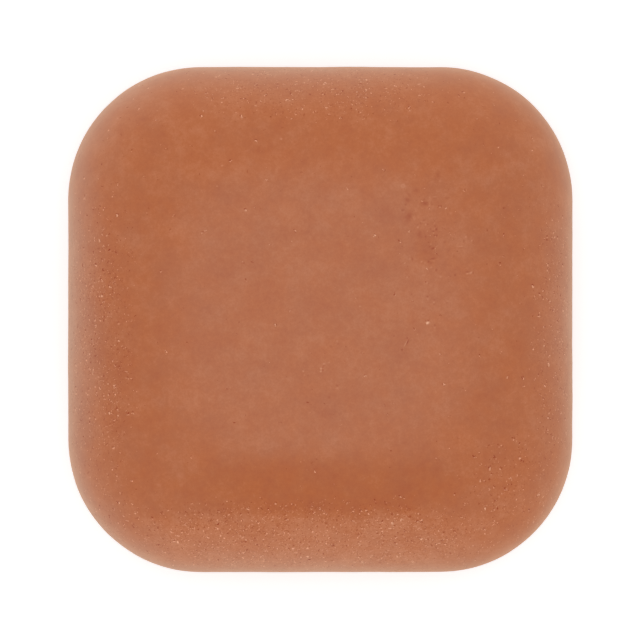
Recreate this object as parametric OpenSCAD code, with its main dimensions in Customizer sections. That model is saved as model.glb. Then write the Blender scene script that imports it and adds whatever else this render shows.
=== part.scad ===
// Hair mask bar: one poured and moulded bar of solid hair mask.
// A rounded square seen from above, with a flat top, wide soft shoulders all round,
// upright sides and a flat base that it lies on.
// Millimetres. X is the width, Y the length, Z up. The origin is the middle of the base.

/* [Outline] */
// Width of the bar, side to side
bar_w = 60; // [44:0.1:90]
// Length of the bar, front to back
bar_l = 60.1; // [44:0.1:90]
// Height of the bar, from the base to the flat top
bar_h = 20; // [18.5:0.5:36]
// Radius of the four upright corners, seen from above
corner_r = 15.8; // [5:0.1:21.5]

/* [Shoulder] */
// Width of the shoulder, from the side in to the flat top
shoulder_w = 15.5; // [13.5:0.1:17]
// Radius of the lower part of the shoulder, where it turns into the side
side_r = 11; // [6:0.1:12.5]
// Radius of the wide upper part of the shoulder, which runs into the flat top
crown_r = 21; // [20:0.5:40]

/* [Base] */
// Radius of the edge between the side and the flat base
base_r = 2.5; // [0.5:0.1:4]

/* [Hidden] */
$fn = 96;

// How far the shoulder has leaned over, in degrees, where its two arcs meet.
// They meet in one tangent, so their radii and the shoulder's width settle it.
meet_angle = asin((shoulder_w - side_r) / (crown_r - side_r));

// Height at which the upright side ends and the shoulder begins
shoulder_h = side_r * cos(meet_angle) + crown_r * (1 - cos(meet_angle));
side_top = bar_h - shoulder_h;

// What is left between the corners, along each side
run_w = bar_w - 2 * corner_r;
run_l = bar_l - 2 * corner_r;

// A slice of a disc between two directions, in degrees from the x axis
module sector(radius, first, last) {
    reach = 2 * radius;
    intersection() {
        circle(r = radius);
        polygon([
            [0, 0],
            reach * [cos(first), sin(first)],
            reach * [cos(last), sin(last)]
        ]);
    }
}

// Upright section of the bar, from x = 0 out to a side that stands at x = side_x
module half_section(side_x) {
    crown_centre = [side_x - shoulder_w, bar_h - crown_r];
    side_centre = [side_x - side_r, side_top];
    base_centre = [side_x - base_r, base_r];
    meet_point = side_centre + side_r * [sin(meet_angle), cos(meet_angle)];
    // The shoulder may be wider than the corner's radius, so the shape starts
    // behind x = 0 and is cut there
    behind = -shoulder_w;
    intersection() {
        square([side_x, bar_h]);
        union() {
            polygon([
                [behind, 0],
                [base_centre.x, 0],
                base_centre,
                [side_x, base_centre.y],
                [side_x, side_top],
                side_centre,
                meet_point,
                [crown_centre.x, bar_h],
                [behind, bar_h]
            ]);
            translate(base_centre)
                sector(base_r, -90, 0);
            translate(side_centre)
                sector(side_r, 0, 90 - meet_angle);
            translate(crown_centre)
                sector(crown_r, 90 - meet_angle, 90);
        }
    }
}

// The section drawn straight along Y, with its two sides at +X and -X
module straight_bar(width, length) {
    translate([0, length / 2, 0])
        rotate([90, 0, 0])
            linear_extrude(height = length) {
                half_section(width / 2);
                mirror([1, 0])
                    half_section(width / 2);
            }
}

// A block that stands on the base, centred on the origin
module centred_block(width, length) {
    translate([-width / 2, -length / 2, 0])
        cube([width, length, bar_h]);
}

// The two straight bars where they cross, without the four square corners
module crossing() {
    intersection() {
        straight_bar(bar_w, bar_l);
        rotate([0, 0, 90])
            straight_bar(bar_l, bar_w);
        union() {
            centred_block(run_w, bar_l);
            centred_block(bar_w, run_l);
        }
    }
}

// One round corner: the section turned a quarter round the corner's axis
module corner_turn() {
    rotate_extrude(angle = 90)
        half_section(corner_r);
}

module hair_mask_bar() {
    color("#b66c46")
        union() {
            crossing();
            for (quarter = [0 : 3]) {
                turned = quarter % 2 == 1;
                across = (turned ? run_l : run_w) / 2;
                along = (turned ? run_w : run_l) / 2;
                rotate([0, 0, 90 * quarter])
                    translate([across, along, 0])
                        corner_turn();
            }
        }
}

hair_mask_bar();
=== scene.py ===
# %% [markdown]
# # A solid hair mask bar, from above
#
# The real object is one piece: a bar of solid hair mask, the size of a small cake of soap. Warm, coloured
# wax is poured in a mould, sets, and comes out with a flat top, wide soft shoulders and a flat base.
# Nothing is joined to it, so the whole lesson is about one form and one finish.
#
# The construction model gives the form its place and size. It is loaded first, and its box gives the bar's
# width, length and height.

# %% Load the construction model
import math

import bpy
import numpy as np
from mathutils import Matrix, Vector


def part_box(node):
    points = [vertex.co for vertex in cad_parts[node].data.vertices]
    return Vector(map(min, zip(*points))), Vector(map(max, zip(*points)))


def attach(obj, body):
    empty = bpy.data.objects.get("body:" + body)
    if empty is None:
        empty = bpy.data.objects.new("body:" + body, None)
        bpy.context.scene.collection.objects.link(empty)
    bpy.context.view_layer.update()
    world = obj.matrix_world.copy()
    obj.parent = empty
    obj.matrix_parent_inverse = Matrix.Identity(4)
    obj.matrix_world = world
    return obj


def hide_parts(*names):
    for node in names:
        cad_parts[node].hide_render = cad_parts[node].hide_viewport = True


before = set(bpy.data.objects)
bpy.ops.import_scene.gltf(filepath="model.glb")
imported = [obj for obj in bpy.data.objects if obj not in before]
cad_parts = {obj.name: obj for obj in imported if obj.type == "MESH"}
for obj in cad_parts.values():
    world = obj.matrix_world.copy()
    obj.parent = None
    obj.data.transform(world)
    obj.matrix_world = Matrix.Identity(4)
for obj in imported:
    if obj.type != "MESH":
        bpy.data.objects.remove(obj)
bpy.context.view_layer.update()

MM = 0.001
NODE = "hair_mask_bar"
low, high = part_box(NODE)
bar_width = high.x - low.x
bar_length = high.y - low.y
bar_height = high.z - low.z
print(f"the bar is {bar_width / MM:.1f} x {bar_length / MM:.1f} x {bar_height / MM:.1f} mm")

# %% [markdown]
# ## The bar's sizes
#
# These are the sizes that a mould maker would write on a drawing. The shoulder is not one round: it leaves
# the flat top as a wide arc and turns into the side in a tighter one. The two arcs meet in one tangent, so
# their radii and the shoulder's width settle the angle at which they meet and how far the shoulder drops.

# %% Sizes of the mould
corner_radius = 15.8 * MM
shoulder_width = 15.5 * MM
side_radius = 11.0 * MM
crown_radius = 21.0 * MM
base_radius = 2.5 * MM

meet_angle = math.asin((shoulder_width - side_radius) / (crown_radius - side_radius))
shoulder_drop = side_radius * math.cos(meet_angle) + crown_radius * (1 - math.cos(meet_angle))
print(f"the two arcs meet where the surface leans {math.degrees(meet_angle):.1f} degrees")
print(f"the shoulder drops {shoulder_drop / MM:.2f} mm")


# %% A clean start for each operator
def deselect():
    """An operator works on all that is selected, and loading leaves the construction model selected."""
    if bpy.context.mode != "OBJECT":
        bpy.ops.object.mode_set(mode="OBJECT")
    bpy.ops.object.select_all(action="DESELECT")


def work_on(thing):
    """Makes one object the only selected and the active one."""
    deselect()
    thing.select_set(True)
    bpy.context.view_layer.objects.active = thing


def triangles(thing):
    return sum(len(face.vertices) - 2 for face in thing.data.polygons)


# %% [markdown]
# ## The bar's form
#
# A cube is the start: only the upright part of the side, as wide and as long as the bar. Its four upright
# edges are bevelled round. Then the shoulder grows from its top face, ring by ring: each inset goes a
# little inwards and a little up, along the two arcs, and its depth and width come from the arc's own
# formula. The base's small round is made the same way, downwards. An inset keeps every ring parallel to
# the one before, so the corners get tighter as the shoulder climbs, as on the real bar.

# %% Upright part of the side
deselect()
upright_height = bar_height - shoulder_drop - base_radius
bpy.ops.mesh.primitive_cube_add(
    size=1,
    location=((low.x + high.x) / 2, (low.y + high.y) / 2, base_radius + upright_height / 2),
    scale=(bar_width, bar_length, upright_height),
)
clean_form = bpy.context.object
clean_form.name = "clean_form"
bpy.ops.object.transform_apply(location=True, rotation=False, scale=True)


def select_parts(thing, kind, flags):
    """Selects the edges or faces whose flag is true, and stays in edit mode."""
    work_on(thing)
    bpy.ops.object.mode_set(mode="EDIT")
    bpy.ops.mesh.select_mode(type=kind)
    bpy.ops.mesh.select_all(action="DESELECT")
    bpy.ops.object.mode_set(mode="OBJECT")
    parts = thing.data.edges if kind == "EDGE" else thing.data.polygons
    parts.foreach_set("select", flags)
    bpy.ops.object.mode_set(mode="EDIT")


def stands_upright(edge):
    ends = [clean_form.data.vertices[i].co for i in edge.vertices]
    return abs(ends[0].z - ends[1].z) > upright_height / 2


corner_segments = 96
round_profile = 0.5
select_parts(clean_form, "EDGE", [stands_upright(edge) for edge in clean_form.data.edges])
bpy.ops.mesh.bevel(offset=corner_radius, segments=corner_segments, profile=round_profile)
bpy.ops.object.mode_set(mode="OBJECT")
print(f"outline with {len(clean_form.data.polygons)} faces before the rings")


# %% Shoulder and base round, ring by ring
def grow(thing, facing, path):
    """Insets the flat face that faces up (1) or down (-1) along path, a list of (inwards, outwards)."""
    select_parts(thing, "FACE", [face.normal.z * facing > 0.9 for face in thing.data.polygons])
    for before, after in zip(path, path[1:]):
        bpy.ops.mesh.inset(thickness=after[0] - before[0], depth=after[1] - before[1])
    bpy.ops.object.mode_set(mode="OBJECT")


def arc(lean_from, lean_to, radius, centre, step=0.3 * MM):
    """Points of an arc, as (inwards, outwards), from one lean of the surface to another, in radians."""
    count = max(2, round(abs(lean_to - lean_from) * radius / step))
    leans = (lean_from + (lean_to - lean_from) * i / count for i in range(count + 1))
    return [(centre[0] - radius * math.sin(lean), centre[1] + radius * math.cos(lean)) for lean in leans]


upright = math.pi / 2
side_arc = arc(upright, meet_angle, side_radius, (side_radius, 0))
crown_arc = arc(meet_angle, 0, crown_radius, (shoulder_width, shoulder_drop - crown_radius))
base_arc = arc(upright, 0, base_radius, (base_radius, 0))
grow(clean_form, 1, side_arc + crown_arc[1:])
grow(clean_form, -1, base_arc)
print(f"clean form: {len(clean_form.data.polygons)} faces, {clean_form.dimensions.z / MM:.2f} mm high")

# %% [markdown]
# ## An even skin
#
# Rings are a poor skin for modelling marks: they are dense at the corners and there is nothing at all on
# the flat top. A remesh gives the whole bar an even skin of small squares. It also rounds a form off a
# little, so each point is then put back on the clean form by a Shrinkwrap. The base stays one flat face,
# because nobody sees it and a moulded base is flat.

# %% Remesh and fit
skin_size = 0.38 * MM
work_on(clean_form)
bpy.ops.object.duplicate()
bar = bpy.context.object
bar.name = "moulded_bar"

remesh = bar.modifiers.new("even_skin", "REMESH")
remesh.mode = "VOXEL"
remesh.voxel_size = skin_size
bpy.ops.object.modifier_apply(modifier=remesh.name)

fit = bar.modifiers.new("fit", "SHRINKWRAP")
fit.target = clean_form
fit.wrap_method = "NEAREST_SURFACEPOINT"
bpy.ops.object.modifier_apply(modifier=fit.name)
print(f"skin: {len(bar.data.polygons)} faces, {triangles(bar)} triangles")

deselect()
clean_form.select_set(True)
bpy.ops.object.delete()


def face_values(thing, name, width):
    """One property of all faces as an array, such as center or normal."""
    values = np.empty(len(thing.data.polygons) * width, np.float32)
    thing.data.polygons.foreach_get(name, values)
    return values.reshape(-1, width)


flat_base = 0.002 * MM
faces_down = face_values(bar, "normal", 3)[:, 2] < -0.9999
on_the_base = face_values(bar, "center", 3)[:, 2] < flat_base
select_parts(bar, "FACE", faces_down & on_the_base)
bpy.ops.mesh.dissolve_faces()
bpy.ops.object.mode_set(mode="OBJECT")
print(f"with one flat base: {len(bar.data.polygons)} faces, {triangles(bar)} triangles")

# %% [markdown]
# ## Small marks in the top
#
# The top is smooth, but a bar that has been handled is never perfect. Right of the middle, towards the
# back, it has been scuffed: a loose group of shallow dents, a few crumbs and short scratches. Near the
# middle lie one pale crumb, one short scratch and some dots. They are too few and too different for a
# pattern, so each mark has a row of its own, in two tables.
#
# Each row is one mark: its place from the middle of the bar and its length and width, in millimetres, the
# turn of its length in degrees, and its tone. A mark below zero is darker than the wax and pressed in, and
# its darkness is partly painted shade. A mark above zero is paler and stands up as a crumb, and its
# paleness is partly painted light.

# %% Tables of marks
SCUFF = [
    (9.64, 15.57, 0.54, 0.52, 0, 0.30),
    (9.64, 15.57, 0.21, 0.21, 0, -0.37),
    (11.28, 15.04, 0.94, 0.59, 0, -0.12),
    (10.29, 14.60, 1.06, 0.21, -49, -0.16),
    (10.16, 13.93, 0.70, 0.70, 0, -0.22),
    (9.95, 13.40, 0.26, 0.26, 0, -0.31),
    (9.62, 12.75, 0.35, 0.30, 0, -0.26),
    (9.75, 12.58, 0.23, 0.23, 0, 0.18),
    (10.41, 12.02, 1.40, 0.90, 60, -0.27),
    (10.76, 12.00, 0.76, 0.16, -55, 0.15),
    (11.11, 12.25, 0.70, 0.19, -70, -0.14),
    (12.18, 13.52, 1.05, 0.60, -8, -0.32),
    (12.73, 13.39, 0.70, 0.23, 80, 0.18),
    (13.04, 13.43, 0.35, 0.28, 0, -0.16),
    (12.78, 14.28, 0.70, 0.26, 90, 0.12),
    (13.31, 14.30, 0.64, 0.15, 0, 0.18),
    (13.31, 14.15, 0.64, 0.15, 0, -0.14),
    (14.78, 14.20, 0.59, 0.19, 0, -0.14),
    (13.97, 16.17, 0.35, 0.30, 0, 0.14),
    (13.74, 16.95, 0.82, 0.47, 90, -0.17),
    (15.23, 12.36, 0.28, 0.23, 90, 0.18),
    (15.72, 11.30, 0.59, 0.15, 3, -0.16),
    (14.11, 11.42, 1.06, 0.14, 4, -0.12),
    (12.13, 11.37, 0.70, 0.18, 0, 0.18),
    (12.09, 11.55, 0.30, 0.19, 0, -0.24),
    (12.29, 11.08, 0.22, 0.22, 0, 0.31),
    (12.51, 11.10, 0.23, 0.21, 0, -0.24),
    (11.69, 11.23, 0.21, 0.21, 0, -0.22),
    (11.36, 11.08, 0.22, 0.20, 90, -0.22),
    (11.37, 10.74, 0.26, 0.23, 90, 0.31),
    (12.85, 10.56, 0.28, 0.21, 90, -0.24),
    (13.39, 10.88, 0.28, 0.23, 90, -0.33),
    (13.53, 10.52, 0.33, 0.26, 90, -0.45),
    (13.19, 10.29, 0.26, 0.23, 0, -0.35),
    (13.33, 10.57, 0.21, 0.19, 90, 0.22),
    (13.21, 10.11, 0.21, 0.20, 0, 0.33),
    (13.88, 10.41, 0.59, 0.14, 0, 0.14),
    (13.58, 9.80, 0.23, 0.21, 0, -0.43),
    (12.27, 9.65, 0.22, 0.21, 0, -0.35),
    (11.59, 10.02, 1.06, 0.59, 90, -0.17),
    (14.51, 9.04, 0.33, 0.30, 0, -0.28),
    (15.23, 9.58, 0.26, 0.21, 90, -0.19),
    (16.98, 9.65, 0.23, 0.23, 0, 0.27),
    (16.75, 9.17, 0.40, 0.16, 90, -0.22),
    (17.66, 9.17, 0.23, 0.23, 0, 0.24),
    (17.84, 9.09, 0.23, 0.21, 90, -0.16),
    (16.39, 8.51, 0.88, 0.15, 3, 0.20),
    (16.39, 8.35, 0.70, 0.15, 3, -0.14),
    (18.16, 10.52, 0.82, 0.13, 2, 0.12),
    (12.87, 8.77, 0.22, 0.21, 0, 0.31),
    (12.77, 8.49, 0.28, 0.21, 90, -0.28),
    (13.07, 8.28, 0.30, 0.28, 90, -0.45),
    (13.22, 8.11, 0.21, 0.19, 0, 0.22),
    (13.53, 8.50, 0.38, 0.18, 30, 0.18),
    (12.40, 8.10, 1.90, 2.60, 0, -0.07),
    (13.12, 7.10, 0.70, 0.19, 8, -0.31),
    (13.21, 6.82, 0.30, 0.21, 0, 0.20),
    (11.82, 6.75, 0.23, 0.23, 0, 0.31),
    (12.23, 6.61, 0.28, 0.21, 0, 0.14),
    (12.63, 6.73, 0.26, 0.26, 0, -0.33),
    (12.90, 6.57, 0.35, 0.33, 0, -0.22),
    (12.92, 6.05, 0.26, 0.23, 0, 0.22),
    (13.53, 5.78, 0.26, 0.23, 90, -0.37),
    (13.32, 5.76, 0.21, 0.19, 90, 0.14),
    (17.16, 5.35, 0.33, 0.20, 12, 0.39),
    (17.56, 5.45, 0.38, 0.22, 18, 0.42),
    (17.16, 5.55, 0.35, 0.16, 0, -0.35),
    (17.83, 5.44, 0.23, 0.19, 90, -0.35),
    (15.72, 5.18, 0.26, 0.23, 90, -0.28),
    (14.02, 4.99, 0.35, 0.33, 0, 0.20),
    (14.74, 4.82, 0.52, 0.35, 0, 0.12),
    (10.12, 4.91, 0.26, 0.21, 90, 0.22),
    (10.30, 4.97, 0.21, 0.19, 90, -0.16),
    (12.45, 4.26, 0.23, 0.23, 0, 0.24),
    (12.65, 4.21, 0.21, 0.19, 90, -0.19),
    (10.43, 7.06, 0.26, 0.23, 0, 0.15),
    (10.73, 7.06, 0.38, 0.18, 90, -0.31),
    (15.55, 7.33, 0.63, 0.23, 90, -0.14),
    (15.01, 8.05, 0.35, 0.35, 0, -0.14),
]
FLECKS = [
    (12.50, -0.40, 0.42, 0.28, 27, 1.65),
    (12.61, -0.14, 0.21, 0.19, 90, -0.53),
    (12.27, -0.52, 0.21, 0.19, 90, -0.48),
    (12.29, -0.15, 0.19, 0.16, 0, -0.26),
    (11.98, 0.59, 0.54, 0.52, 0, 0.15),
    (11.98, 0.59, 0.21, 0.21, 0, -0.29),
    (12.08, 1.29, 0.82, 0.35, -15, -0.11),
    (13.26, 2.00, 0.23, 0.23, 0, 0.22),
    (13.27, 2.27, 0.23, 0.23, 0, -0.22),
    (13.27, 1.76, 0.23, 0.21, 0, -0.15),
    (12.49, 2.67, 0.22, 0.22, 0, -0.37),
    (12.51, 2.39, 0.47, 0.14, -62, 0.20),
    (13.36, -0.64, 0.23, 0.23, 0, -0.26),
    (13.38, -0.96, 0.26, 0.26, 0, 0.20),
    (11.32, -1.75, 0.23, 0.21, 0, 0.18),
    (9.98, -2.77, 0.84, 0.15, 61, 0.37),
    (10.19, -2.63, 0.77, 0.18, 63, -0.44),
    (10.13, -2.17, 0.23, 0.23, 0, -0.31),
    (9.55, -3.51, 0.26, 0.22, 90, -0.42),
    (9.72, -3.47, 0.35, 0.15, 90, 0.20),
    (14.78, 1.95, 0.23, 0.23, 0, -0.15),
    (14.87, 2.13, 0.35, 0.19, 25, 0.15),
    (10.63, 2.94, 0.21, 0.21, 0, -0.18),
    (8.57, -1.93, 0.23, 0.23, 0, -0.18),
    (0.08, -5.73, 0.23, 0.23, 0, 0.62),
    (0.06, -6.04, 0.23, 0.23, 0, 0.53),
    (0.30, -5.92, 0.23, 0.20, 90, -0.44),
    (0.29, -5.56, 0.19, 0.19, 0, -0.31),
    (0.40, -5.19, 0.28, 0.19, 0, 0.31),
    (0.42, -5.38, 0.26, 0.16, 0, -0.26),
    (1.97, -2.52, 0.26, 0.23, 0, 0.26),
    (2.10, -2.86, 0.21, 0.21, 0, -0.26),
    (1.21, -3.14, 0.59, 0.47, 0, -0.11),
    (-2.00, -6.05, 0.23, 0.23, 0, 0.29),
    (-1.83, -6.49, 0.21, 0.21, 0, 0.22),
    (-1.45, -6.52, 0.23, 0.21, 90, -0.26),
    (1.97, -7.68, 0.30, 0.21, 0, -0.26),
    (1.96, -8.00, 0.30, 0.21, 0, 0.22),
    (1.03, -5.03, 0.21, 0.21, 0, 0.22),
    (1.03, -9.09, 0.21, 0.21, 0, -0.26),
    (-4.55, 21.10, 0.28, 0.26, 0, 0.40),
    (-11.47, 17.94, 0.26, 0.23, 0, 0.35),
    (4.60, 1.52, 0.26, 0.23, 0, 0.31),
]
marks = np.array(SCUFF + FLECKS)
print(f"{len(marks)} marks, {np.sum(marks[:, 5] > 0)} of them pale")

# %% [markdown]
# Each small mark needs finer squares than the rest of the skin, so only the faces under it are cut in
# four, and then in four again. That costs some 10 thousand triangles, where the same squares all over the
# bar would cost nearly two million.

# %% Finer squares under the small marks
WIDEST_SMALL_MARK = 0.8
MARGINS = (0.35, 0.12)
small_marks = marks[marks[:, 3] < WIDEST_SMALL_MARK]


def under_marks(places, margin):
    """Which places, in millimetres, lie on the top within margin of a small mark."""
    close = np.zeros(len(places), bool)
    for x, y, length, width, turn, tone in small_marks:
        close |= np.hypot(places[:, 0] - x, places[:, 1] - y) < length / 2 + margin
    return close & (places[:, 2] > bar_height / MM / 2)


for margin in MARGINS:
    select_parts(bar, "FACE", under_marks(face_values(bar, "center", 3) / MM, margin))
    bpy.ops.mesh.subdivide(number_cuts=1)
    bpy.ops.object.mode_set(mode="OBJECT")
print(f"skin with fine places: {len(bar.data.polygons)} faces, {triangles(bar)} triangles")


# %% How strongly each mark works on each point
def point_places(thing):
    places = np.empty(len(thing.data.vertices) * 3, np.float32)
    thing.data.vertices.foreach_get("co", places)
    return places.reshape(-1, 3) / MM


# A mark is at full strength in its middle, and at its outline a quarter of that is left
FADE_OF_A_MARK = 1.4
places = point_places(bar)
on_top = places[:, 2] > bar_height / MM / 2
mark_tone = np.zeros(len(places))
# A mark's tone is partly its own colour and partly the painted light and shade of its dent or crumb
for x, y, length, width, turn, tone in marks:
    along = math.radians(turn)
    from_x, from_y = places[:, 0] - x, places[:, 1] - y
    far_along = (from_x * math.cos(along) + from_y * math.sin(along)) / (length / 2)
    far_across = (from_y * math.cos(along) - from_x * math.sin(along)) / (width / 2)
    mark_tone += tone * np.exp(-FADE_OF_A_MARK * (far_along**2 + far_across**2)) * on_top
print(f"darkest point {mark_tone.min():.2f}, palest point {mark_tone.max():.2f}")

# %% [markdown]
# ## The skin's relief
#
# Wax shrinks as it sets, so no face of the bar is truly flat: it has long, low waves of a few hundredths of
# a millimetre. Where the bar was rubbed in its mould and in its pack, the skin is crumbly: along the front,
# on the left side, less on the other sides and in two corners, and a little in the scuffed place. Each kind
# of relief is a weight painted on the skin's points, and a Displace modifier that pushes the skin along its
# normals by that weight.

# %% Weights of the gritty places
# x, y, half length along x, half length along y, how softly the edge fades, and the strength
GRITTY_PLACES = {
    "front": (-1.0, -25.8, 19.5, 4.1, 0.28, 1.00),
    "left": (-26.7, -2.6, 4.2, 14.0, 0.50, 0.79),
    "right": (27.8, -1.5, 2.4, 14.0, 0.50, 0.60),
    "back": (-1.0, 27.4, 12.5, 3.6, 0.50, 0.55),
    "front_right": (22.5, -20.5, 5.5, 5.5, 0.50, 0.48),
    "scuff": (12.6, 9.6, 3.2, 4.6, 0.60, 0.11),
    "front_left": (-24.8, -23.6, 3.0, 4.0, 0.50, 0.40),
}
ON_THE_TOP = 0.012
ON_THE_SHOULDER = 0.035
ON_THE_SIDES = 0.25


def smooth_step(values, start, end):
    """0 at the start and 1 at the end, and a soft slope between them."""
    ramp = np.clip((values - start) / (end - start), 0, 1)
    return ramp * ramp * (3 - 2 * ramp)


def inside_patch(places, x, y, half_x, half_y, fade):
    """1 in a rounded patch seen from above, falling softly to 0 around it."""
    squareness = 3
    far_x = np.abs((places[:, 0] - x) / half_x)
    far_y = np.abs((places[:, 1] - y) / half_y)
    far = (far_x**squareness + far_y**squareness) ** (1 / squareness)
    return smooth_step(far, 1 + fade, 1 - fade)


side_top = (bar_height - shoulder_drop) / MM
# Each value fades between two heights, in millimetres from the top of the upright side
off_the_top = smooth_step(places[:, 2], side_top + 11.5, side_top + 9)
on_the_side = smooth_step(places[:, 2], side_top + 5, side_top)
grit = ON_THE_TOP + (ON_THE_SHOULDER - ON_THE_TOP) * off_the_top
grit = grit + (ON_THE_SIDES - ON_THE_SHOULDER) * on_the_side
for name, (x, y, half_x, half_y, fade, strength) in GRITTY_PLACES.items():
    grit = np.maximum(grit, strength * inside_patch(places, x, y, half_x, half_y, fade))
off_the_base = smooth_step(places[:, 2], 0.3, 2.5)
print(f"gritty over {np.mean(grit > 0.4):.0%} of the skin's points")


# %% Push the skin by painted weights
def paint_weights(thing, name, weights):
    """A vertex group with a weight for each point, as in weight painting."""
    faintest = 0.002
    group = thing.vertex_groups.new(name=name)
    for index in np.flatnonzero(weights > faintest):
        group.add([int(index)], float(min(weights[index], 1)), "REPLACE")
    return group


def push_skin(thing, name, weights, height, grain_size=0):
    """Pushes the skin out by height, in or out by half of it where a cloudy grain is used."""
    group = paint_weights(thing, name, weights)
    push = thing.modifiers.new(name, "DISPLACE")
    push.vertex_group = group.name
    push.strength = height
    push.mid_level = 0
    if grain_size:
        clouds = bpy.data.textures.new(name, "CLOUDS")
        clouds.noise_scale = grain_size
        clouds.noise_depth = 2
        push.texture = clouds
        push.texture_coords = "LOCAL"
        push.mid_level = 0.5
    work_on(thing)
    bpy.ops.object.modifier_apply(modifier=push.name)
    thing.vertex_groups.remove(thing.vertex_groups[name])


wave_height = 0.10 * MM
wave_size = 7 * MM
grit_height = 0.05 * MM
grit_size = 0.55 * MM
dent_depth = 0.03 * MM
crumb_height = 0.05 * MM
deepest_tone = 0.60
highest_tone = 1.00
push_skin(bar, "waves", off_the_base, wave_height, wave_size)
push_skin(bar, "grit", grit * off_the_base, grit_height, grit_size)
push_skin(bar, "dents", -mark_tone / deepest_tone, -dent_depth)
push_skin(bar, "crumbs", mark_tone / highest_tone, crumb_height)
work_on(bar)
bpy.ops.object.shade_smooth()
print(f"after the relief: {', '.join(f'{side / MM:.2f}' for side in bar.dimensions)} mm")


# %% [markdown]
# The same weights also tell the finish where to be gritty and where to be dark or pale, so they are kept
# on the points under their own names. The colour is not the same everywhere either. Along the front lie
# two soft bands, a paler one low on the shoulder and a darker one above it. Painted warmth makes the back
# and the front a little warmer and the left a little cooler, which tints the pale haze of the gloss there.
# A pale painted reflection lies over the flat top, where the softbox overhead is mirrored, and low on the
# shoulder, where the white tent and floor are mirrored, most on the left and least at the two corners on
# the right. The sides under the shoulder are not seen from above, so their painted reflection is even.

# %% Keep grit, tone, warmth and painted reflection on the points
# x, y, half length along x, half length along y, how softly the edge fades, then tone, warmth and painted
# reflection
SOFT_PATCHES = {
    # The top holds only a painted reflection of the softbox overhead
    "top": (0.0, 0.3, 17.2, 17.0, 0.25, 0.000, 0.00, 0.0245),
    "pale_front_band": (-0.5, -26.2, 20.0, 3.4, 0.30, 0.082, 0.40, 0.005),
    "dark_front_band": (1.0, -19.4, 14.5, 3.4, 0.45, -0.050, 0.00, -0.013),
    "back": (0.0, 25.5, 26.0, 9.0, 0.40, 0.000, 0.40, 0.000),
    "right": (23.0, 0.0, 6.0, 18.0, 0.40, 0.000, -0.05, 0.002),
    "left": (-28.6, 0.0, 2.6, 17.0, 0.50, 0.000, -0.30, 0.010),
    "front_right": (22.0, -21.0, 6.0, 6.0, 0.50, 0.000, 0.15, 0.002),
    "scuff": (12.4, 8.1, 1.3, 1.7, 0.50, -0.020, 0.00, -0.010),
}
# The tent's painted reflection low on the shoulder, by direction in degrees: 0 is the front and 90 the
# right
RIM_REFLECTION = {
    0: 0.036,
    45: -0.032,
    90: 0.043,
    135: -0.018,
    180: 0.053,
    225: 0.053,
    270: 0.079,
    315: 0.048,
}
# The painted reflection on the upright sides, the same all round
SIDE_REFLECTION = 0.020


def keep_on_points(thing, name, values):
    stored = thing.data.attributes.new(name, "FLOAT", "POINT")
    stored.data.foreach_set("value", values.astype(np.float32))


# The shoulder's painted reflection fades in between two heights, and lower down gives way to the side's own
around = np.degrees(np.arctan2(places[:, 0], -places[:, 1])) % 360
low_on_shoulder = smooth_step(places[:, 2], side_top + 10.5, side_top + 3)
reflection_around = np.interp(around, list(RIM_REFLECTION), list(RIM_REFLECTION.values()), period=360)
rim_reflection = low_on_shoulder * reflection_around
down_the_side = smooth_step(places[:, 2], side_top + 2.5, side_top - 2.5)
painted_reflection = rim_reflection * (1 - down_the_side) + SIDE_REFLECTION * down_the_side
painted_values = {"grit": grit, "tone": mark_tone.copy(), "warmth": 0 * grit, "painted_reflection": painted_reflection}
for name, (x, y, half_x, half_y, fade, *strengths) in SOFT_PATCHES.items():
    patch = inside_patch(places, x, y, half_x, half_y, fade) * (1 - down_the_side)
    for effect, strength in zip(("tone", "warmth", "painted_reflection"), strengths):
        painted_values[effect] = painted_values[effect] + strength * patch
for effect, values in painted_values.items():
    keep_on_points(bar, effect, values)
    print(f"{effect}: {values.min():.3f} to {values.max():.3f}")

# %% [markdown]
# ## The finish of the wax
#
# Solid hair mask is butter and fatty alcohol with clay in it. Seen close, it has clouds of slightly
# different brown, a very fine grain, pale crumbs and dark pits, and a soft, waxy sheen that turns pale
# where the surface leans away. The colour therefore comes from one tone, a number that is zero for plain
# wax, below zero for darker wax and above zero for paler wax. Each effect adds its share to that number,
# and only at the end does it become a colour. The effects are node groups, built once with named inputs.


# %% Helpers for nodes
def feed(tree, value, socket):
    """Links another node's socket to this one, or writes a plain number into it."""
    if isinstance(value, bpy.types.NodeSocket):
        tree.links.new(value, socket)
    else:
        socket.default_value = value


def calculate(tree, operation, *values, clamp=False):
    node = tree.nodes.new("ShaderNodeMath")
    node.operation = operation
    node.use_clamp = clamp
    for value, socket in zip(values, node.inputs):
        feed(tree, value, socket)
    return node.outputs[0]


def move_or_scale(tree, operation, vector, value):
    node = tree.nodes.new("ShaderNodeVectorMath")
    node.operation = operation
    feed(tree, vector, node.inputs[0])
    feed(tree, value, node.inputs["Scale"] if operation == "SCALE" else node.inputs[1])
    return node.outputs[0]


def start_group(name, inputs, outputs):
    """An empty node group with named inputs and outputs; gives its tree, its inputs and its outputs."""
    tree = bpy.data.node_groups.new(name, "ShaderNodeTree")
    for title, kind in inputs:
        tree.interface.new_socket(title, in_out="INPUT", socket_type=kind)
    for title, kind in outputs:
        tree.interface.new_socket(title, in_out="OUTPUT", socket_type=kind)
    given = tree.nodes.new("NodeGroupInput")
    wanted = tree.nodes.new("NodeGroupOutput")
    return tree, given.outputs, wanted.inputs


def use_group(tree, group, **values):
    node = tree.nodes.new("ShaderNodeGroup")
    node.node_tree = group
    for title, value in values.items():
        feed(tree, value, node.inputs[title.replace("_", " ")])
    return node.outputs


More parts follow.
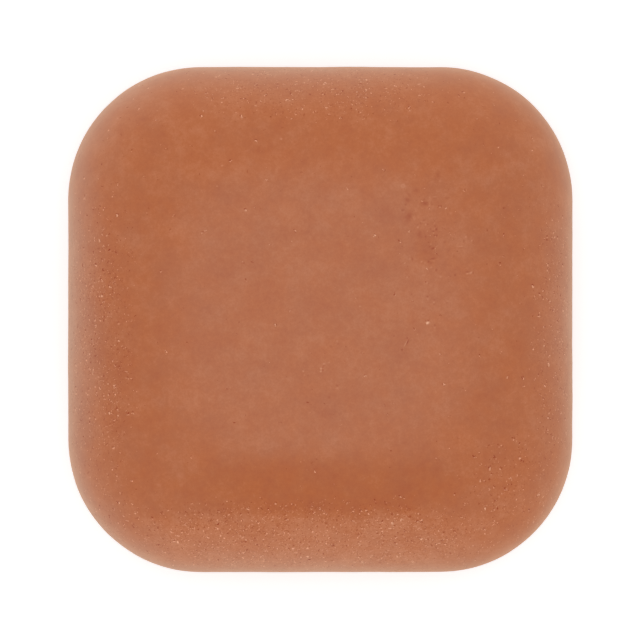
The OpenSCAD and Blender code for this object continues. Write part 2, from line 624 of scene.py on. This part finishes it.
# %% Group: clouds in the wax
# A cloudy value between -1 and 1, from clouds of the given size in millimetres.
cloud_tree, given, wanted = start_group(
    "clouds_in_wax",
    [
        ("Position", "NodeSocketVector"),
        ("Size", "NodeSocketFloat"),
        ("Octaves", "NodeSocketFloat"),
        ("Fineness", "NodeSocketFloat"),
    ],
    [("Value", "NodeSocketFloat")],
)
noise = cloud_tree.nodes.new("ShaderNodeTexNoise")
cloud_tree.links.new(given["Position"], noise.inputs["Vector"])
cloud_tree.links.new(calculate(cloud_tree, "DIVIDE", 1.0, given["Size"]), noise.inputs["Scale"])
cloud_tree.links.new(given["Octaves"], noise.inputs["Detail"])
cloud_tree.links.new(given["Fineness"], noise.inputs["Roughness"])
spread = calculate(cloud_tree, "SUBTRACT", noise.outputs[0], 0.5)
cloud_tree.links.new(calculate(cloud_tree, "MULTIPLY", spread, 3.0), wanted["Value"])

# %% Group: ragged position
# Shifts each position a little by a fine, coloured noise, so that round grains get ragged outlines. Each
# variant is another noise, which gives the same grain another outline.
ragged_tree, given, wanted = start_group(
    "ragged_position",
    [
        ("Position", "NodeSocketVector"),
        ("Size", "NodeSocketFloat"),
        ("Shift", "NodeSocketFloat"),
        ("Variant", "NodeSocketFloat"),
    ],
    [("Position", "NodeSocketVector")],
)
jitter = ragged_tree.nodes.new("ShaderNodeTexNoise")
far_away = move_or_scale(ragged_tree, "SCALE", (17.0, 31.0, 5.0), given["Variant"])
noise_position = move_or_scale(ragged_tree, "ADD", given["Position"], far_away)
ragged_tree.links.new(noise_position, jitter.inputs["Vector"])
ragged_tree.links.new(calculate(ragged_tree, "DIVIDE", 1.0, given["Size"]), jitter.inputs["Scale"])
jitter.inputs["Detail"].default_value = 1.0
centred = move_or_scale(ragged_tree, "SUBTRACT", jitter.outputs["Color"], (0.5, 0.5, 0.5))
shift = move_or_scale(ragged_tree, "SCALE", centred, given["Shift"])
ragged_tree.links.new(move_or_scale(ragged_tree, "ADD", given["Position"], shift), wanted["Position"])

# %% Group: grains
# Small grains, one at most in each cell. Cell and radius are in millimetres, and share is how many of the
# cells hold a grain. Each grain has its own size, from 0.65 to 1.15 of the radius, and its own strength,
# from 0.3 to 1: most are weak and few are strong.
grain_tree, given, wanted = start_group(
    "grains",
    [
        ("Position", "NodeSocketVector"),
        ("Cell", "NodeSocketFloat"),
        ("Radius", "NodeSocketFloat"),
        ("Share", "NodeSocketFloat"),
    ],
    [("Mask", "NodeSocketFloat")],
)
cells = grain_tree.nodes.new("ShaderNodeTexVoronoi")
grain_tree.links.new(given["Position"], cells.inputs["Vector"])
grain_tree.links.new(calculate(grain_tree, "DIVIDE", 1.0, given["Cell"]), cells.inputs["Scale"])
chance = grain_tree.nodes.new("ShaderNodeSeparateColor")
grain_tree.links.new(cells.outputs["Color"], chance.inputs[0])
distance = calculate(grain_tree, "MULTIPLY", cells.outputs["Distance"], given["Cell"])
own_size = calculate(grain_tree, "MULTIPLY_ADD", chance.outputs[1], 0.5, 0.65)
own_radius = calculate(grain_tree, "MULTIPLY", own_size, given["Radius"])
depth = calculate(grain_tree, "DIVIDE", calculate(grain_tree, "SUBTRACT", own_radius, distance), own_radius)
body = calculate(grain_tree, "MULTIPLY", depth, 2.0, clamp=True)
chosen = calculate(grain_tree, "LESS_THAN", chance.outputs[0], given["Share"])
rare = calculate(grain_tree, "POWER", chance.outputs[2], 1.5)
own_strength = calculate(grain_tree, "MULTIPLY_ADD", rare, 0.7, 0.3)
grain = calculate(grain_tree, "MULTIPLY", calculate(grain_tree, "MULTIPLY", body, chosen), own_strength)
grain_tree.links.new(grain, wanted["Mask"])

# %% Group: tone to colour
# A tone below zero mixes in the deep colour of a shaded pit, and is all of it at about -0.6. A tone above
# zero mixes in the pale colour of a dry crumb, and is all of it at 1.
colour_tree, given, wanted = start_group(
    "wax_colour",
    [
        ("Tone", "NodeSocketFloat"),
        ("Wax", "NodeSocketColor"),
        ("Deep", "NodeSocketColor"),
        ("Dry", "NodeSocketColor"),
    ],
    [("Color", "NodeSocketColor")],
)


def mix_in(tree, factor, colour, other):
    node = tree.nodes.new("ShaderNodeMix")
    node.data_type = "RGBA"
    feed(tree, factor, node.inputs["Factor"])
    feed(tree, colour, node.inputs[6])
    feed(tree, other, node.inputs[7])
    return node.outputs[2]


deep_share = calculate(colour_tree, "MULTIPLY", given["Tone"], -1.6, clamp=True)
dry_share = calculate(colour_tree, "MULTIPLY", given["Tone"], 1.0, clamp=True)
deepened = mix_in(colour_tree, deep_share, given["Wax"], given["Deep"])
colour_tree.links.new(mix_in(colour_tree, dry_share, deepened, given["Dry"]), wanted["Color"])

# %% [markdown]
# The whole finish works in millimetres, measured on the bar itself, so it stays where it is on the bar
# whatever the camera does. First come the values that change over the skin: the ones painted on its points,
# and clouds of four sizes. The painted grit, made patchy by one of the clouds, says how densely the grains
# lie.

# %% The wax, its clouds and the density of its grains
wax = bpy.data.materials.new("hair_mask_wax")
wax.use_nodes = True
tree = wax.node_tree
shader = tree.nodes["Principled BSDF"]
on_bar = tree.nodes.new("ShaderNodeTexCoord").outputs["Object"]
position = move_or_scale(tree, "SCALE", on_bar, 1 / MM)


def painted(name):
    node = tree.nodes.new("ShaderNodeAttribute")
    node.attribute_name = name
    return node.outputs["Fac"]


def share_of(value, amount):
    return calculate(tree, "MULTIPLY", value, amount)


def add_up(*values):
    total = values[0]
    for value in values[1:]:
        total = calculate(tree, "ADD", total, value)
    return total


def cloudy(size, octaves, fineness, moved):
    """Clouds of one size, moved so that no two effects fall on the same spots."""
    place = move_or_scale(tree, "ADD", position, moved)
    made = use_group(tree, cloud_tree, Position=place, Size=size, Octaves=octaves, Fineness=fineness)
    return made["Value"]


broad_clouds = cloudy(size=3.8, octaves=5.0, fineness=0.92, moved=(0, 0, 0))
warm_clouds = cloudy(size=4.0, octaves=4.0, fineness=0.7, moved=(13, 29, 5))
fine_grain = cloudy(size=0.24, octaves=2.0, fineness=0.6, moved=(5, 11, 40))
patchy_clouds = cloudy(size=2.6, octaves=2.0, fineness=0.6, moved=(31, 7, 3))
patchiness = 0.75
patchy = calculate(tree, "MULTIPLY_ADD", patchy_clouds, patchiness, 1.0)
density = calculate(tree, "MULTIPLY", painted("grit"), patchy)
print(f"clouds, fine grain and density: {len(tree.nodes)} nodes")

# %% [markdown]
# Then come the grains: crumbs, smaller bits and round pits. A crumb stands up a little, and its paleness is
# partly a painted highlight on its lit side. It has a painted shadow too, a dark crescent on its shadow
# side, and the pits are darkened by painted shade. The crescent is a grain that is a little larger and lies
# a little beside the crumb, less the crumb itself.

# %% Crumbs, bits and pits
ragged_size = 0.30
ragged_shift = 0.7


def ragged(variant):
    made = use_group(
        tree, ragged_tree, Position=position, Size=ragged_size, Shift=ragged_shift, Variant=variant
    )
    return made["Position"]


outline = ragged(1)
other_outline = ragged(2)


def grains(place, moved, cell, radius, share):
    place = move_or_scale(tree, "ADD", place, moved)
    return use_group(tree, grain_tree, Position=place, Cell=cell, Radius=radius, Share=share)["Mask"]


def crumbs_and_shadows(moved, shadow_side, cell, radius, share):
    """Ragged crumbs, and the dark crescent that each one has on its shadow side."""
    larger = 1.15
    cover = 1.5
    crumbs = grains(outline, moved, cell, radius, share)
    beside = [a + b for a, b in zip(moved, shadow_side)]
    shadows = grains(other_outline, beside, cell, radius * larger, share)
    crescents = calculate(tree, "SUBTRACT", shadows, share_of(crumbs, cover), clamp=True)
    return crumbs, crescents


crumb_share = share_of(density, 0.9)
pit_share = share_of(density, 1.3)
crumbs, crumb_shadows = crumbs_and_shadows(
    moved=(0, 0, 0), shadow_side=(0.05, -0.15, 0), cell=0.58, radius=0.135, share=crumb_share
)
bits, bit_shadows = crumbs_and_shadows(
    moved=(3, 17, 9), shadow_side=(-0.10, 0.06, 0), cell=0.36, radius=0.095, share=crumb_share
)
pits = grains(other_outline, moved=(7, 3, 8), cell=0.50, radius=0.115, share=pit_share)
shadows = add_up(share_of(crumb_shadows, 0.66), share_of(bit_shadows, 0.52), share_of(pits, 0.53))
print(f"with crumbs, bits and pits: {len(tree.nodes)} nodes")

# %% [markdown]
# Now each effect adds its share to the tone, and the tone picks the colour. The plain wax lies between two
# browns, a duller and a warmer one, as its clouds and the painted warmth say; the painted warmth tints the
# pale haze of the gloss. The painted reflection is added to it, and makes it paler and a little less red.

# %% Colour of the wax
DULLER_WAX = (0.509, 0.1420, 0.0465, 1)
WARMER_WAX = (0.546, 0.1420, 0.0355, 1)
DEEP_WAX = (0.345, 0.022, 0, 1)
DRY_WAX = (0.95, 0.48, 0.29, 1)
REFLECTION_TINT = (0.7, 1.0, 1.0)

# The crumbs' paleness is partly painted highlight, and the shadows, with the pits, are painted shade
wax_tone = add_up(
    painted("tone"),
    share_of(broad_clouds, 0.22),
    share_of(fine_grain, 0.02),
    share_of(crumbs, 1.25),
    share_of(bits, 0.90),
    share_of(shadows, -1.0),
    calculate(tree, "MULTIPLY", fine_grain, share_of(density, 0.10)),
)
warm_middle = 0.5
warm_spread = 0.8
cloudy_warmth = calculate(tree, "MULTIPLY_ADD", warm_clouds, warm_spread, warm_middle)
# The warmth painted in patches tints the pale haze of the gloss
warm_share = calculate(tree, "ADD", cloudy_warmth, painted("warmth"))
warm_share = calculate(tree, "MAXIMUM", warm_share, 0.0)
wax_kind = mix_in(tree, warm_share, DULLER_WAX, WARMER_WAX)
# The pale painted reflection, kept on the points, makes the wax paler and a little less red
painted_reflection_colour = move_or_scale(tree, "SCALE", REFLECTION_TINT, painted("painted_reflection"))
wax_kind = move_or_scale(tree, "ADD", wax_kind, painted_reflection_colour)
wax_colour = use_group(tree, colour_tree, Tone=wax_tone, Wax=wax_kind, Deep=DEEP_WAX, Dry=DRY_WAX)
tree.links.new(wax_colour["Color"], shader.inputs["Base Color"])
print(f"with its colour: {len(tree.nodes)} nodes")

# %% [markdown]
# The grains also stand up or lie deep, too finely for the skin's squares, so a Bump node tilts the light on
# them. The shadowed places are rougher than the rest. The sheen is the soft, pale veil of the dry skin,
# which shows most where the shoulder leans away from the eye.

# %% Fine relief, roughness and sheen
crumb_relief = 0.025 * MM
plain_roughness = 0.64
height = add_up(crumbs, bits, share_of(shadows, -1.0), share_of(fine_grain, 0.05))
relief = tree.nodes.new("ShaderNodeBump")
relief.inputs["Strength"].default_value = 1.0
relief.inputs["Distance"].default_value = crumb_relief
tree.links.new(height, relief.inputs["Height"])
tree.links.new(relief.outputs["Normal"], shader.inputs["Normal"])

roughness = add_up(share_of(density, 0.06), share_of(shadows, 0.6), share_of(broad_clouds, 0.02))
tree.links.new(calculate(tree, "ADD", roughness, plain_roughness), shader.inputs["Roughness"])
shader.inputs["Sheen Weight"].default_value = 0.65
shader.inputs["Sheen Roughness"].default_value = 0.50
shader.inputs["Sheen Tint"].default_value = (1.0, 0.77, 0.56, 1)
print(f"the whole finish: {len(tree.nodes)} nodes, with 4 kinds of group")

# %% The finish on the bar
bar.data.materials.clear()
bar.data.materials.append(wax)

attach(bar, "root")
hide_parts(NODE)
print(f"{bar.name} takes the place of {NODE}")

# %% [markdown]
# ## Floor
#
# The bar lies on a plain white sheet. A white sheet under soft light is a light grey in a picture, so the
# material adds just enough of its own light to be white for the camera, and for a mirror image of the
# sheet in something glossy, which here is only the faint gloss low on the shoulder. It throws no other
# light: the bar's colour and its shadow come from the light tent alone.

# %% White floor
floor_side = 1.6
floor_glow = 0.53
deselect()
bpy.ops.mesh.primitive_plane_add(size=floor_side, location=(0, 0, 0))
floor = bpy.context.object
floor.name = "floor"
paper = bpy.data.materials.new("white_paper")
paper.use_nodes = True
paper_shader = paper.node_tree.nodes["Principled BSDF"]
paper_shader.inputs["Base Color"].default_value = (0.8, 0.8, 0.8, 1)
paper_shader.inputs["Roughness"].default_value = 0.9
paper_shader.inputs["Specular IOR Level"].default_value = 0
paper_shader.inputs["Emission Color"].default_value = (1, 1, 1, 1)
rays = paper.node_tree.nodes.new("ShaderNodeLightPath").outputs
mirrored = calculate(paper.node_tree, "ADD", rays["Is Glossy Ray"], rays["Is Transmission Ray"])
seen = calculate(paper.node_tree, "ADD", rays["Is Camera Ray"], mirrored, clamp=True)
top_up = calculate(paper.node_tree, "MULTIPLY", seen, floor_glow)
paper.node_tree.links.new(top_up, paper_shader.inputs["Emission Strength"])
floor.data.materials.append(paper)
print(f"floor {floor_side} m wide, which adds {floor_glow} of its own light where it is seen")

# %% [markdown]
# ## Camera
#
# The picture looks straight down on the bar from far away, so the upright sides hide under the shoulder.
# The lens follows from how many pixels a millimetre takes where the bar is widest.

# %% Camera straight above
pixels_per_mm = 8.4
picture_side = 640
camera_height = 600 * MM
right_of_middle = 0.3 / pixels_per_mm * MM
above_middle = 0.5 / pixels_per_mm * MM
widest_level = bar_height - shoulder_drop
camera_data = bpy.data.cameras.new("camera")
camera = bpy.data.objects.new("camera", camera_data)
bpy.context.scene.collection.objects.link(camera)
bpy.context.scene.camera = camera
camera_data.sensor_width = 36
field = picture_side / pixels_per_mm * MM
camera_data.lens = camera_data.sensor_width * (camera_height - widest_level) / field
camera.location = (-right_of_middle, -above_middle, camera_height)
camera_data.clip_start = 0.01
camera_data.clip_end = 10
print(f"lens {camera_data.lens:.0f} mm, {camera_height / MM:.0f} mm above the floor")

# %% [markdown]
# ## Light
#
# The bar lies in a light tent: white all round, a softbox overhead, and seven soft walls low around it. The
# front wall and the back left one are the brightest, which makes the front of the bar and its back left
# corner a little paler. How bright each one is, is how much light it alone would throw on a card that
# faces it, so a wall may be moved or enlarged and its light on the bar stays the same.

# %% Light tent
TENT = 0.55
LAMP_DISTANCE = 0.9
LAMP_SPREAD = 22
WALL_RISE = 18
OVERHEAD = 0.36
WALLS = {
    "front": (0, 0.48),
    "front_right": (45, 0.07),
    "right": (90, 0.13),
    "back_right": (135, 0.21),
    "back": (180, 0.22),
    "back_left": (225, 0.25),
    "left": (270, 0.18),
}

world = bpy.data.worlds.new("studio")
bpy.context.scene.world = world
world.use_nodes = True
world.node_tree.nodes["Background"].inputs["Color"].default_value = (1, 1, 1, 1)
world.node_tree.nodes["Background"].inputs["Strength"].default_value = TENT


def softbox(name, around, rise, brightness):
    """A square lamp that faces the bar, at angles in degrees; around is 0 in front and 90 to the right."""
    turn, lift = math.radians(around), math.radians(rise)
    towards = Vector((math.sin(turn) * math.cos(lift), -math.cos(turn) * math.cos(lift), math.sin(lift)))
    lamp = bpy.data.lights.new(name, "AREA")
    lamp.shape = "SQUARE"
    lamp.size = 2 * LAMP_DISTANCE * math.tan(math.radians(LAMP_SPREAD / 2))
    lamp.energy = brightness * math.pi * LAMP_DISTANCE**2
    thing = bpy.data.objects.new(name, lamp)
    bpy.context.scene.collection.objects.link(thing)
    thing.location = towards * LAMP_DISTANCE
    thing.rotation_euler = towards.to_track_quat("Z", "Y").to_euler()
    thing.visible_camera = False


softbox("overhead", around=0, rise=90, brightness=OVERHEAD)
for name, (around, brightness) in WALLS.items():
    softbox(f"wall_{name}", around=around, rise=WALL_RISE, brightness=brightness)
print(f"{len(bpy.data.lights)} lamps at {LAMP_DISTANCE} m")

bpy.context.scene.view_settings.view_transform = "Standard"
